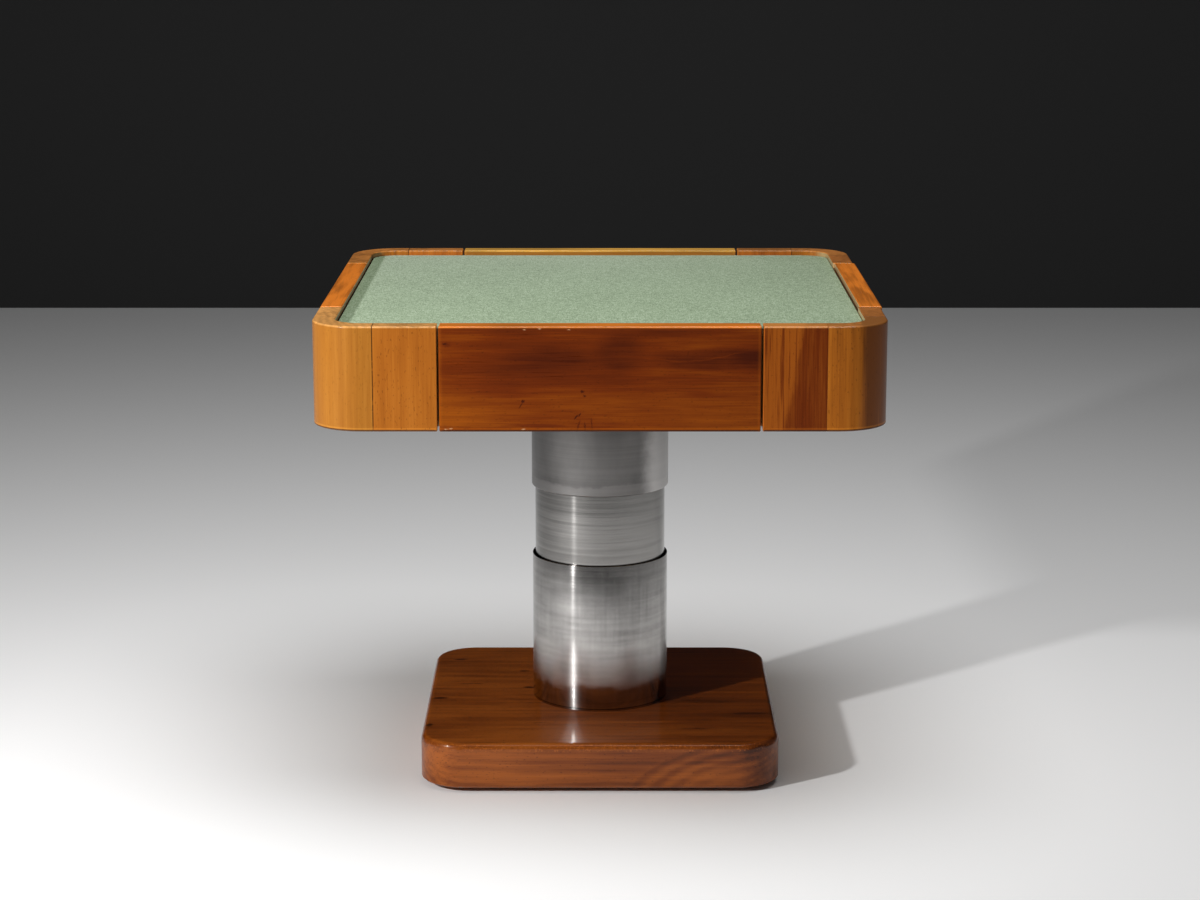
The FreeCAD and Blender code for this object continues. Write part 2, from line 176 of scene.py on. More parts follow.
class Recipe:
    """A material under construction."""

    def __init__(self, name):
        self.material = bpy.data.materials.new(name)
        self.material.use_nodes = True
        self.tree = self.material.node_tree
        self.tree.nodes.clear()
        self.place = self.node("ShaderNodeTexCoord", output="Object")

    def node(self, kind, settings=(), sockets=(), output=0):
        made = self.tree.nodes.new(kind)
        for name, value in dict(settings).items():
            if name == "stops":
                self.set_stops(made.color_ramp, value)
            else:
                setattr(made, name, value)
        for key, value in dict(sockets).items():
            if isinstance(value, Wire):
                self.tree.links.new(value.socket, made.inputs[key])
            else:
                made.inputs[key].default_value = value
        return Wire(self, made.outputs[output])

    @staticmethod
    def set_stops(ramp, stops):
        for position, colour in stops[len(ramp.elements):]:
            ramp.elements.new(position)
        for element, (position, colour) in zip(ramp.elements, stops):
            element.position = position
            element.color = (*colour, 1)

    def maths(self, operation, *values):
        return self.node("ShaderNodeMath", {"operation": operation}, dict(enumerate(values)))

    def apart(self, vector=None):
        """The X, Y and Z of a vector, or else of the place on the object."""
        x = self.node("ShaderNodeSeparateXYZ", (), {0: vector or self.place})
        return x, x.part("Y"), x.part("Z")

    def mapped(self, vector, scale=(1, 1, 1), move=(0, 0, 0), turn=(0, 0, 0)):
        sockets = {"Vector": vector, "Scale": scale, "Location": move, "Rotation": turn}
        return self.node("ShaderNodeMapping", {"vector_type": "POINT"}, sockets)

    def noise(self, vector, scale, detail=2.0, roughness=0.5, move=(0, 0, 0)):
        at = self.mapped(vector, scale, move)
        sockets = {"Vector": at, "Scale": 1.0, "Detail": detail, "Roughness": roughness}
        return self.node("ShaderNodeTexNoise", {"noise_dimensions": "3D"}, sockets)

    def blend(self, factor, first, second):
        """A colour between two colours, for a factor from 0 to 1."""
        settings = {"data_type": "RGBA", "blend_type": "MIX", "clamp_factor": True}
        colours = [c if isinstance(c, Wire) else (*c, 1) for c in (first, second)]
        return self.node("ShaderNodeMix", settings, {0: factor, 6: colours[0], 7: colours[1]}, 2)

    def ramp(self, factor, stops):
        return self.node("ShaderNodeValToRGB", {"stops": stops}, {0: factor})

    def step(self, value, low, high, first=0.0, last=1.0):
        """Runs smoothly from first to last while value goes from low to high. Low may be above high."""
        sockets = {0: value, 1: low, 2: high, 3: first, 4: last}
        return self.node("ShaderNodeMapRange", {"interpolation_type": "SMOOTHSTEP"}, sockets)

    def bump(self, height, distance, strength):
        sockets = {"Height": height, "Distance": distance, "Strength": strength}
        return self.node("ShaderNodeBump", (), sockets)

    def finish(self, **sockets):
        """Adds the surface shader. Socket names are written with _ for a space."""
        named = {name.replace("_", " "): value for name, value in sockets.items()}
        self.surface = self.node("ShaderNodeBsdfPrincipled", (), named)
        self.output = self.tree.nodes.new("ShaderNodeOutputMaterial")
        self.tree.links.new(self.surface.socket, self.output.inputs["Surface"])
        return self.material

# %% [markdown]
# Some marks belong to a place on the table, so they are worked out from X, Y and Z. Thin lines run
# down the sides where two pieces meet. The top of the rim is painted lighter, as lit from above. Its
# bevel at the foot has a painted highlight, its lower edge painted shade, and its ends beside the
# drawer gaps painted highlights. Beside the cloth its inner wall gets a painted reflection of the
# cloth and painted shade in the gap. Each mark is a mask from 0 to 1. A step gives the two places
# between which it fades, in metres, and the number that the mask is multiplied by says how strong
# the mark is. Colours are red, green and blue shares of light.

# %% Marks that belong to a place
# The foot brown and the gap black are painted shade, and the two cloth colours are a painted reflection of
# the cloth, in shade and lit.
SEAM_BROWN, FOOT_SHADE_BROWN, GAP_SHADE_BLACK = (0.035, 0.010, 0.002), (0.03, 0.008, 0.002), (0.006, 0.007, 0.004)
CLOTH_REFLECTION_SHADED, CLOTH_REFLECTION_LIT = (0.100, 0.130, 0.070), (0.560, 0.480, 0.260)
CHIP_PALE, CHIP_LONG, CHIP_HIGH = (0.70, 0.40, 0.20), 0.0034, 0.0013
SEAM_WIDTH, END_WIDTH = 0.0011, 0.0062


def spot(r, x, z, centre, width, height, lean=0.0):
    """One inside an oval, falling to zero at its edge. Lean tips it over, as X for each Z."""
    up = z - centre[1]
    across = ((x - centre[0]) - up * lean) / width
    up = up / height
    return r.step((across * across + up * up).maths("SQRT"), 1.0, 0.3)


def side_line(r, colour, place, width, tone, amount):
    """Two thin lines on each side of the table, at one distance left and right of its middle."""
    x, y, z = r.apart()
    for along in (x, y):
        off = (along.maths("ABSOLUTE") - place).maths("ABSOLUTE")
        colour = r.blend(r.step(off, width, width * 0.4) * amount, colour, tone)
    return colour


def beside_cloth(r, colour):
    """The inner wall of the rim left and right gets a painted reflection of the cloth, in shade on the left
    and lit on the right, and the gap beside the cloth gets painted shade, darkest at the left.
    """
    x, y, z = r.apart()
    side = x.maths("ABSOLUTE")
    outermost = side.maths("MAXIMUM", y.maths("ABSOLUTE"))
    wall = r.step(outermost, inner_wall + 0.0066, inner_wall + 0.0058)
    wall = wall * r.step(side, inner_wall - 0.022, inner_wall - 0.006)
    wall = wall * r.step(z, rim_top - 0.0010, rim_top - 0.0018)
    wall = wall * r.step(z, cloth_top - 0.007, cloth_top - 0.005)
    right = r.step(x, -0.1, 0.1)
    # A painted reflection of the cloth on the inner wall, in shade on the left and lit on the right.
    colour = r.blend(wall * 0.6, colour, r.blend(right, CLOTH_REFLECTION_SHADED, CLOTH_REFLECTION_LIT))
    # Painted shade in the gap beside the cloth, darkest at the left.
    gap_shade = r.step(z, cloth_top + 0.0004, cloth_top - 0.0004) * wall
    return r.blend(gap_shade * (0.95 - right * 0.7), colour, GAP_SHADE_BLACK)


def rim_marks(r, colour, level, rim, painted_highlight_tone, lit_ends):
    """The top of a rim, painted lighter as lit from above, a painted highlight on its foot bevel and its ends
    beside the drawer gaps, painted shade on its lower edge, and its inner wall.
    """
    x, y, z = r.apart()
    # The top of the rim is painted lighter, as lit from above, and darker where the grain is darker.
    worn = tuple(0.5 * c for c in rim)
    lighter_band = r.blend(r.step(level, 0.3, 0.66), worn, rim)
    colour = r.blend(r.step(z, rim_top - 0.0035, rim_top - 0.0008) * 0.95, colour, lighter_band)
    # A painted highlight on the bevel at the foot of the rim.
    colour = r.blend(r.step(z, rim_foot + 0.0064, rim_foot + 0.0046) * 0.3, colour, painted_highlight_tone)
    # Painted shade along the lower edge of the rim.
    colour = r.blend(r.step(z, rim_foot + 0.0034, rim_foot + 0.0024) * 0.85, colour, FOOT_SHADE_BROWN)
    # Painted highlights on the ends beside the drawer gaps.
    colour = side_line(r, colour, gap_place, END_WIDTH, painted_highlight_tone, lit_ends)
    return beside_cloth(r, colour)


def chipped(r, colour, chips):
    """Small pale chips, each given by the X and Z of its middle."""
    x, y, z = r.apart()
    crumb = (r.noise(r.place, (380, 380, 380), 3.0, 0.7, (6, 3, 9)) - 0.5) * 0.006
    for centre in chips:
        chip = spot(r, x + crumb, z + crumb * 0.5, centre, CHIP_LONG, CHIP_HIGH)
        colour = r.blend(chip * 0.6, colour, CHIP_PALE)
    return colour

# %% [markdown]
# Wood is a solid pattern. Broad clouds and long streaks run with the grain, thin growth rings lie
# round a pith line, and fine fibres and short dark flecks sit between them. Because the pattern
# fills space, one recipe gives long grain on a face and end grain on the top of a post, as on a
# real block. Each piece gets its own tones and its own place in the pattern.

# %% Wood
GRAIN_TURNS = {"X": (0, 0, 0), "Y": (0, 0, -pi / 2), "Z": (0, pi / 2, 0)}
PITH_Y, PITH_Z, PITH_SLOPE, RING_WANDER = 0.12, 0.3, 0.01, 0.06


def ring_pattern(r, grain, ring_width):
    """Tubes round a pith line that slopes a little, from 0 to 1."""
    drift = r.noise(grain, (2.5, 9, 9), 2.0) - 0.5
    x, y, z = r.apart(grain)
    across, deep = y - PITH_Y, z - PITH_Z
    radius = (across * across + deep * deep).maths("SQRT") + drift * RING_WANDER + x * PITH_SLOPE
    return (radius * (2 * pi / ring_width)).maths("SINE") * 0.5 + 0.5


def wood(name, along, tones, seed=(0, 0, 0), cloudy=1.0, streaky=1.0, ringed=0.25, flecked=0.4,
         figure=None, rim=None, seams=0.0, lit_ends=0.15, gloss=0.3, coat=0.32, ring_width=0.012,
         chips=()):
    """A lacquered wood. Tones are its dark, middle and light colours, and rim is its colour on top, painted
    lighter as lit from above.
    """
    r = Recipe(name)
    grain = r.mapped(r.place, turn=GRAIN_TURNS[along], move=seed)
    cloud = r.noise(grain, (3, 11, 11), 3.0, 0.55, (1, 2, 3))
    streak = r.noise(grain, (2.4, 105, 105), 5.0, 0.62)
    fine = r.noise(grain, (14, 460, 460), 3.0, 0.6, (4, 4, 4))
    fleck = r.noise(grain, (190, 430, 430), 1.0, 0.4, (3, 5, 7))
    ring = ring_pattern(r, grain, ring_width)
    level = (cloud - 0.5) * (1.1 * cloudy) + (streak - 0.5) * (0.8 * streaky) + (fine - 0.5) * 0.4
    level = level + (ring - 0.5) * (0.3 * ringed) + 0.5
    if figure:
        level = figure(r, level)
    colour = r.ramp(level, [(0.18, tones[0]), (0.5, tones[1]), (0.82, tones[2])])
    if rim:
        # The tone of the painted highlights on the foot bevel and on the ends beside the drawer gaps.
        painted_highlight_tone = tuple(min(0.9, 1.6 * c) for c in tones[2])
        colour = rim_marks(r, colour, level, rim, painted_highlight_tone, lit_ends)
    flecks = r.step(fleck, 0.64, 0.74) * flecked
    colour = r.blend(flecks, colour, tuple(0.4 * c for c in tones[0]))
    if seams:
        broken = r.step(r.noise(r.place, (9, 9, 90), 3.0, 0.7, (5, 2, 8)), 0.38, 0.52, 0.45, 1.0)
        colour = side_line(r, colour, seam_place, SEAM_WIDTH, SEAM_BROWN, broken * seams)
    if chips:
        colour = chipped(r, colour, chips)
    roughness = gloss + (fine - 0.5) * 0.08 + (cloud - 0.5) * 0.1
    normal = r.bump(fine * 0.5 + ring * 0.2 - flecks, 0.0002, 0.3)
    return r.finish(Base_Color=colour, Roughness=roughness, Normal=normal, Coat_Weight=coat,
                    Coat_Roughness=0.045, Coat_IOR=1.7, Specular_IOR_Level=0.12)


amber = ((0.290, 0.092, 0.010), (0.395, 0.145, 0.017), (0.500, 0.205, 0.030))
honey = ((0.270, 0.070, 0.006), (0.410, 0.125, 0.012), (0.520, 0.180, 0.022))
chestnut = ((0.060, 0.008, 0.001), (0.153, 0.0232, 0.001), (0.300, 0.068, 0.002))
russet = ((0.085, 0.010, 0.001), (0.150, 0.023, 0.001), (0.350, 0.086, 0.006))
golden = ((0.200, 0.055, 0.005), (0.430, 0.126, 0.010), (0.560, 0.190, 0.018))
orange = ((0.300, 0.065, 0.006), (0.500, 0.130, 0.012), (0.640, 0.205, 0.026))
walnut = ((0.060, 0.012, 0.001), (0.190, 0.042, 0.004), (0.340, 0.088, 0.010))
# The colours of the rim tops, painted lighter than the faces, as lit from above.
tan_top, brown_top, red_top = (0.88, 0.42, 0.12), (0.66, 0.25, 0.055), (0.56, 0.21, 0.05)
bright_orange, pale_orange, dark_top = (0.90, 0.25, 0.025), (0.99, 0.52, 0.09), (0.48, 0.17, 0.04)

# %% [markdown]
# The front drawer has the best-seen plank of the table. A dark cloudy band runs along it a little
# below its top edge and is strongest to the right, with a light arched line over its right half.
# The lower half is warmer, and a few small knots sit in it. Its edges are chipped. Distances are
# measured on the front face, X to the right and Z up. A cloud is given by its middle, half width,
# half height and depth, a knot has a lean before its depth, and a chip is its middle alone.

# %% Figure of the front drawer
CLOUDS = [((0.17, 0.713), 0.14, 0.018, 0.22), ((0.03, 0.722), 0.05, 0.034, 0.17),
          ((-0.07, 0.714), 0.10, 0.018, 0.09), ((-0.09, 0.697), 0.10, 0.010, 0.07),
          ((0.235, 0.715), 0.055, 0.03, 0.09), ((-0.21, 0.607), 0.10, 0.007, 0.2),
          ((-0.10, 0.611), 0.07, 0.004, 0.14), ((0.10, 0.750), 0.16, 0.006, 0.1),
          ((-0.005, 0.617), 0.05, 0.012, 0.08)]
KNOTS = [((-0.1128, 0.6495), 0.0035, 0.0032, 0.0, 0.5), ((-0.1160, 0.6430), 0.0015, 0.0060, 0.6, 0.3),
         ((-0.0260, 0.6640), 0.0035, 0.0028, 0.0, 0.5), ((-0.0228, 0.6570), 0.0030, 0.0020, 0.0, 0.45),
         ((-0.0350, 0.6260), 0.0020, 0.0050, 0.7, 0.45), ((-0.0300, 0.6290), 0.0016, 0.0040, 0.5, 0.4),
         ((-0.0320, 0.6120), 0.0020, 0.0120, 0.3, 0.25), ((-0.0220, 0.6100), 0.0016, 0.0110, -0.1, 0.3),
         ((-0.0120, 0.6150), 0.0016, 0.0130, -0.1, 0.25), ((-0.2270, 0.7345), 0.0040, 0.0016, 0.0, 0.5),
         ((-0.2230, 0.7330), 0.0080, 0.0050, 0.0, 0.15)]
CHIPS = [(-0.110, 0.7555), (-0.088, 0.7568), (-0.045, 0.7555),
         (-0.226, 0.6078), (-0.219, 0.6084), (-0.112, 0.6078)]
BOW_X, BOW_Z, BOW_CURVE = 0.12, 0.7105, 1.4


def front_figure(r, level):
    across, y, up = r.apart()
    waver = r.noise(r.place, (5, 5, 14), 3.0, 0.6) - 0.5
    curl = r.noise(r.place, (60, 60, 60), 3.0, 0.6, (7, 7, 7)) - 0.5
    crumb = r.noise(r.place, (420, 420, 420), 3.0, 0.7, (3, 8, 1)) - 0.5
    x = across + curl * 0.012
    height = up + curl * 0.006 + waver * 0.02
    for centre, width, high, depth in CLOUDS:
        level = level - spot(r, x, height, centre, width, high) * depth
    level = level + r.step(up, 0.70, 0.61) * 0.09 + r.step(across, -0.12, -0.235) * 0.12 - 0.01
    bow = (height - BOW_Z - (x - BOW_X) * (x - BOW_X) * BOW_CURVE).maths("ABSOLUTE")
    bow = r.step(bow, 0.0012, 0.0004) * r.step(x, 0.05, 0.09) * r.step(x, 0.22, 0.19)
    level = level + bow * 0.12
    x, z = across + crumb * 0.007, up + crumb * 0.005
    for centre, width, high, lean, depth in KNOTS:
        level = level - spot(r, x, z, centre, width, high, lean) * depth
    return level


front_face = wood("front_drawer_wood", "X", chestnut, (0.3, 0.1, 0.2), 0.6, 0.5, 0.1, 0.3,
                  front_figure, bright_orange, chips=CHIPS)
print("clouds", len(CLOUDS), "knots", len(KNOTS), "chips", len(CHIPS))

# %% [markdown]
# The other planks differ in tone. The corner posts are tan and golden and the remaining drawers are
# orange brown. One stave in front is dark red with a golden streak down its left half, and the front
# right post is darkened with painted shade where it turns to the right. Drawer faces have lying
# grain, and posts and staves have standing grain. Each row gives the grain's direction, the tones,
# the place in the pattern, how cloudy, streaky, ringed and flecked the wood is, its figure and the
# colour of its top, which is painted lighter as lit from above. Posts and staves show a seam where
# they meet.

# %% The other outer pieces
def two_toned_figure(r, level):
    """The left of the front right stave is golden, with dark veins."""
    x, y, z = r.apart()
    ragged = r.noise(r.place, (30, 30, 9), 4.0, 0.65) - 0.5
    vein = r.noise(r.place, (260, 260, 5), 3.0, 0.6, (2, 2, 2))
    across = x + ragged * 0.022 - (z - 0.68) * 0.17
    light = r.step(across, 0.291, 0.277)
    return level + light * 0.32 - light * r.step(vein, 0.52, 0.64) * 0.3


def painted_shade_on_turn(r, level):
    """The right of the front right post, where it turns, is darkened with painted shade."""
    x, y, z = r.apart()
    ragged = r.noise(r.place, (30, 30, 7), 3.0, 0.6) - 0.5
    # Painted shade on the turn of the post.
    return level - r.step(x + ragged * 0.012, 0.378, 0.396) * 0.42


plain_woods = {
    "post_front_left": ("Z", amber, (0.11, 0.42, 0.73), 0.25, 0.45, 0.3, 0.25, None, tan_top),
    "stave_front_left": ("Z", honey, (0.52, 0.13, 0.39), 0.6, 0.6, 0.2, 0.45, None, tan_top),
    "stave_front_right": ("Z", russet, (0.73, 0.31, 0.17), 0.3, 0.4, 0.1, 0.3, two_toned_figure, brown_top),
    "post_front_right": ("Z", golden, (0.24, 0.86, 0.55), 0.5, 0.8, 0.3, 0.4, painted_shade_on_turn, red_top),
    "stave_right_front": ("Z", golden, (0.64, 0.22, 0.91), 0.8, 0.8, 0.3, 0.4, None, dark_top),
    "stave_right_back": ("Z", orange, (0.35, 0.75, 0.15), 0.9, 0.8, 0.3, 0.4, None, dark_top),
    "post_back_right": ("Z", golden, (0.85, 0.15, 0.65), 0.9, 0.8, 0.4, 0.4, None, red_top),
    "stave_back_right": ("Z", orange, (0.16, 0.57, 0.27), 0.9, 0.8, 0.3, 0.4, None, brown_top),
    "stave_back_left": ("Z", orange, (0.47, 0.68, 0.83), 0.9, 0.8, 0.3, 0.4, None, brown_top),
    "post_back_left": ("Z", golden, (0.92, 0.33, 0.48), 0.9, 0.8, 0.4, 0.4, None, brown_top),
    "stave_left_back": ("Z", honey, (0.29, 0.94, 0.06), 0.8, 0.8, 0.3, 0.4, None, brown_top),
    "stave_left_front": ("Z", orange, (0.78, 0.07, 0.62), 0.8, 0.8, 0.3, 0.4, None, tan_top),
    "right_drawer_face": ("Y", orange, (0.15, 0.45, 0.35), 0.9, 0.9, 0.5, 0.4, None, bright_orange),
    "back_drawer_face": ("X", amber, (0.62, 0.21, 0.44), 0.7, 0.8, 0.3, 0.3, None, pale_orange),
    "left_drawer_face": ("Y", orange, (0.41, 0.58, 0.79), 0.9, 0.9, 0.5, 0.4, None, bright_orange),
}
outer_woods = {}
for node, given in plain_woods.items():
    fixed = "drawer" not in node
    seams = (0.15 if "front_right" in node else 0.8) * fixed
    outer_woods[node] = wood(node + "_wood", *given, seams=seams, lit_ends=0.5 if fixed else 0.15)
outer_woods["front_drawer_face"] = front_face
print("woods of the rim", len(outer_woods))

# %% [markdown]
# The base is one dark brown plank with its grain running from left to right. It has short dark
# cracks on its top, arched growth rings on the right half of its front, and pale speckles along the
# upper front edge that are partly open pores and partly a painted highlight on the rounded edge. The
# left of its top is painted lighter, as lit from the left. Cracks are given as X, Y, half length and
# half width on the top. The arches are rings round a point under the right end of the block, drawn
# out to twice their width.

# %% Figure of the base
CRACKS = [(-0.1185, 0.028, 0.013, 0.0080), (-0.2620, -0.034, 0.016, 0.0065),
          (-0.2390, 0.196, 0.016, 0.0050), (-0.1270, 0.126, 0.010, 0.0060),
          (0.2365, -0.119, 0.026, 0.0060), (-0.2710, -0.180, 0.008, 0.0080),
          (-0.2150, 0.050, 0.030, 0.0025), (-0.0900, -0.170, 0.035, 0.0020),
          (0.1500, -0.200, 0.030, 0.0020)]
ARCH_X, ARCH_BELOW, ARCH_REACH, ARCH_PITCH = 0.27, 0.03, 0.115, 0.0145


def base_figure(r, level):
    x, y, z = r.apart()
    curl = r.noise(r.place, (45, 90, 90), 3.0, 0.6, (7, 7, 7)) - 0.5
    crack_x, crack_y = x + curl * 0.01, y + curl * 0.012
    on_top = r.step(z, slab_top - 0.004, slab_top - 0.001)
    off_top = r.step(on_top, 1.0, 0.4)
    for middle_x, middle_y, half_length, half_width in CRACKS:
        crack = spot(r, crack_x, crack_y, (middle_x, middle_y), half_length, half_width)
        level = level - crack * on_top * 0.7
    across, up = (x - ARCH_X) / 2, z + curl * 0.008 + ARCH_BELOW
    reach = (across * across + up * up).maths("SQRT")
    inside = r.step(reach, ARCH_REACH + 0.006, ARCH_REACH + 0.001)
    inside = inside * r.step(y, slab_front + 0.0215, slab_front + 0.0065) * off_top
    arch = ((reach - ARCH_REACH) * (2 * pi / ARCH_PITCH)).maths("COSINE") * -1 - 0.35
    arch = arch * inside * r.step(reach, 0.06, 0.1, 0.35, 1.0)
    # Pale speckles along the upper front edge: partly open pores, partly a painted highlight on the rounded
    # edge.
    pore = r.noise(r.place, (300, 300, 300), 2.0, 0.6, (6, 1, 4))
    edge = r.step(z, slab_top - 0.014, slab_top - 0.010) * r.step(z, slab_top, slab_top - 0.004)
    pores_and_edge_highlight = r.step(pore, 0.56, 0.64) * edge * r.step(y, slab_front + 0.0315, slab_front + 0.0115) * 0.5
    # Painted light: the left of the top is lighter, as lit from the left.
    painted_light_left = r.step(x, 0.12, -0.1) * on_top * 0.14
    darker_end = r.step(x + curl * 0.02, 0.17, 0.27) * off_top * 0.13
    paler_front = r.step(z, slab_top - 0.005, slab_top - 0.02) * 0.12
    return level + arch * 0.11 + pores_and_edge_highlight + (painted_light_left - darker_end) + paler_front


base_wood = wood("base_wood", "X", walnut, (0.4, 0.2, 0.6), 0.8, 0.9, 0.3, 0.5, base_figure, coat=0.26)
print("cracks", len(CRACKS))

# %% [markdown]
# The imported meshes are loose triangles, which is right for checking but would show flat facets on
# the round corners. A copy of each is merged into one skin, its flat parts are dissolved into
# whole faces, a hair of bevel is added where two faces meet, and it is shaded smooth. The base
# has its rounding already and gets no bevel.

# %% Outer pieces of wood
RIM_ARRIS = 0.0007


def merged_copy(node, arris):
    """A welded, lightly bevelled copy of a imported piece."""
    mesh = nodes[node].data.copy()
    copy = bpy.data.objects.new(node + "_finished", mesh)
    bpy.context.scene.collection.objects.link(copy)
    edit(copy, "VERT")
    bpy.ops.mesh.select_all(action="SELECT")
    bpy.ops.mesh.remove_doubles(threshold=0.00001)
    bpy.ops.mesh.dissolve_limited(angle_limit=radians(0.4))
    done()
    if arris:
        add_modifier(copy, "BEVEL", width=arris, segments=3, limit_method="ANGLE", angle_limit=radians(42))
    smooth(copy, 36)
    add_modifier(copy, "WEIGHTED_NORMAL", keep_sharp=True, weight=80)
    return copy


for node, material in outer_woods.items():
    piece = merged_copy(node, RIM_ARRIS)
    slot = nodes[node].data.materials[0].name
    settle(piece, node + "_finished", body_of_node[node], material, slot, node)
slab = merged_copy("base_slab", 0)
settle(slab, "base_slab_finished", "base", base_wood, nodes["base_slab"].data.materials[0].name, "base_slab")
print("outer pieces", len(outer_woods) + 1)

# %% [markdown]
# The column is three aluminium sleeves that slide into each other. Each starts as a cylinder. Its
# two ends are inset by the wall and the inner discs are bridged into a bore. Then the circles of
# the rims are bevelled, and the outer foot of the upper sleeve is cut wider and rounder. Many
# sides keep the outline round where the light runs along it.

# %% Sleeves
SLEEVE_SIDES, QUARTER_TURN = 180, 0.25


def sleeve(node, name, wall, arris, material, slot, foot_bevel=0.0):
    low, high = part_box(node)
    length, tiny = high.z - low.z, 1e-6
    bpy.ops.object.select_all(action="DESELECT")
    bpy.ops.mesh.primitive_cylinder_add(vertices=SLEEVE_SIDES, radius=high.x, depth=length,
                                        location=(low + high) / 2)
    tube = bpy.context.object
    edit(tube, "FACE")
    pick(tube, "polygons", lambda face, points: abs(face.normal.z) > 0.5)
    bpy.ops.mesh.inset(thickness=wall, use_individual=True)
    bpy.ops.mesh.bridge_edge_loops()
    bpy.ops.mesh.select_mode(type="EDGE")

    def runs_round(points, at_outer_foot):
        """Whether an edge is part of a rim, and whether that rim is the outer one at the foot."""
        radii = [hypot(p.x, p.y) for p in points]
        level = abs(points[0].z - points[1].z) < tiny and abs(radii[0] - radii[1]) < tiny
        on_end = abs(abs(points[0].z) - length / 2) < tiny
        outer_foot = points[0].z < 0 and radii[0] > high.x - wall / 2
        return level and on_end and outer_foot == at_outer_foot

    pick(tube, "edges", lambda edge, points: runs_round(points, False))
    bpy.ops.mesh.bevel(offset=arris, segments=3, affect="EDGES")
    pick(tube, "edges", lambda edge, points: runs_round(points, True))
    bpy.ops.mesh.bevel(offset=foot_bevel or arris, segments=5 if foot_bevel else 3, affect="EDGES")
    done()
    smooth(tube, 40)
    settle(tube, name, body_of_node[node], material, slot, node)


def turned_metal(name, tone, roughness, groove, groove_depth, ridged, smear, aniso, marks=None, wiped=60):
    """Aluminium off the lathe: rings round the column, with cloudy smears where it was wiped."""
    r = Recipe(name)
    ring = r.noise(r.place, (2, 2, groove), 3.0, 0.7)
    coarse = r.noise(r.place, (3, 3, groove / 5), 2.0, 0.6, (4, 4, 4))
    cloud = r.noise(r.place, (13, 13, 8), 4.0, 0.62, (1, 6, 2))
    wipe = r.noise(r.place, (14, 14, wiped), 3.0, 0.6, (8, 3, 5))
    light = (ring - 0.5) * ridged + (coarse - 0.5) * ridged + (cloud - 0.5) * smear + (wipe - 0.5) * smear
    light = light + 0.8
    rough = roughness + (cloud - 0.5) * (smear * 0.2) + (ring - 0.5) * 0.1
    if marks:
        light, rough = marks(r, light, rough)
    colour = r.blend(light, (0.02, 0.019, 0.018), tone)
    normal = r.bump(ring * 0.6 + coarse, groove_depth, 0.6)
    return r.finish(Base_Color=colour, Roughness=rough, Normal=normal, Metallic=1.0,
                    Anisotropic=aniso, Anisotropic_Rotation=QUARTER_TURN)


def upper_band_and_sheen(r, light, rough):
    """The foot of the upper sleeve is lighter and rougher in a band, with a darker band over it, and its
    right side is painted brighter, a painted sheen.
    """
    x, y, z = r.apart()
    uneven = (r.noise(r.place, (16, 16, 16), 4.0, 0.68, (9, 9, 9)) - 0.5) * 0.028
    lighter_band = r.step(z + uneven, 0.454, 0.449)
    darker_band_above = r.step(z + uneven, 0.47, 0.457)
    # Painted sheen: the right side is painted brighter than the rest.
    painted_sheen_right = r.step(x + uneven, 0.060, 0.090)
    return light + lighter_band * 0.11 - darker_band_above * 0.04 + painted_sheen_right * 0.65 - 0.504, rough + lighter_band * 0.05


def middle_painted_sheen(r, light, rough):
    """The right of the middle sleeve is painted brighter than its left, a painted sheen."""
    x, y, z = r.apart()
    # Painted sheen: the right is painted brighter than the left.
    return light + r.step(x, -0.08, 0.08) * 0.34 - 0.19, rough


def lower_marks(r, light, rough):
    """Low down the lower sleeve is hazy, below that it is mirror bright, and its foot has a dark line."""
    x, y, z = r.apart()
    uneven = (r.noise(r.place, (10, 10, 14), 4.0, 0.65, (9, 9, 9)) - 0.5) * 0.06
    height = z + uneven
    haze = r.step(height, 0.112, 0.126) * r.step(height, 0.21, 0.15)
    rubs = r.noise(r.place, (130, 130, 6), 4.0, 0.65, (3, 1, 7)) - 0.5
    foot_line = r.step((z - 0.0835).maths("ABSOLUTE"), 0.0010, 0.0004)
    light = light + haze * 0.3 - foot_line * 0.5 - 0.2 + rubs * 0.35
    return light, rough + haze * 0.08 - r.step(height, 0.134, 0.106) * 0.07


upper_metal = turned_metal("upper_sleeve_metal", (0.63, 0.612, 0.60), roughness=0.34, groove=900,
                           groove_depth=0.00005, ridged=0.1, smear=0.2, aniso=0.4,
                           marks=upper_band_and_sheen, wiped=5)
middle_metal = turned_metal("middle_sleeve_metal", (0.375, 0.365, 0.352), roughness=0.165, groove=760,
                            groove_depth=0.00012, ridged=0.70, smear=0.25, aniso=0.97,
                            marks=middle_painted_sheen)
lower_metal = turned_metal("lower_sleeve_metal", (0.65, 0.63, 0.612), roughness=0.155, groove=700,
                           groove_depth=0.00004, ridged=0.35, smear=0.5, aniso=0.97,
                           marks=lower_marks, wiped=40)
sleeve("upper_sleeve", "upper_sleeve_turned", 0.003, 0.0006, upper_metal, "upper_sleeve", 0.0022)
sleeve("middle_sleeve", "middle_sleeve_turned", 0.003, 0.0005, middle_metal, "middle_sleeve")
sleeve("lower_sleeve", "lower_sleeve_polished", 0.002, 0.0004, lower_metal, "lower_sleeve")
print("sleeves 3")

# %% [markdown]
# The playing cloth is a square of green felt, cut to the board and glued to it, so it lies flat
# and stretched. It starts as a plane whose corners are rounded by a vertex bevel. A thickness is
# given to it downwards, and its upper edge is rounded where it turns over the board.

# %% Felt
felt_side = felt_high.x - felt_low.x
felt_corner, felt_shift, felt_arris = 0.0405, 0.0008, 0.0007
felt_thickness = felt_high.z - felt_low.z


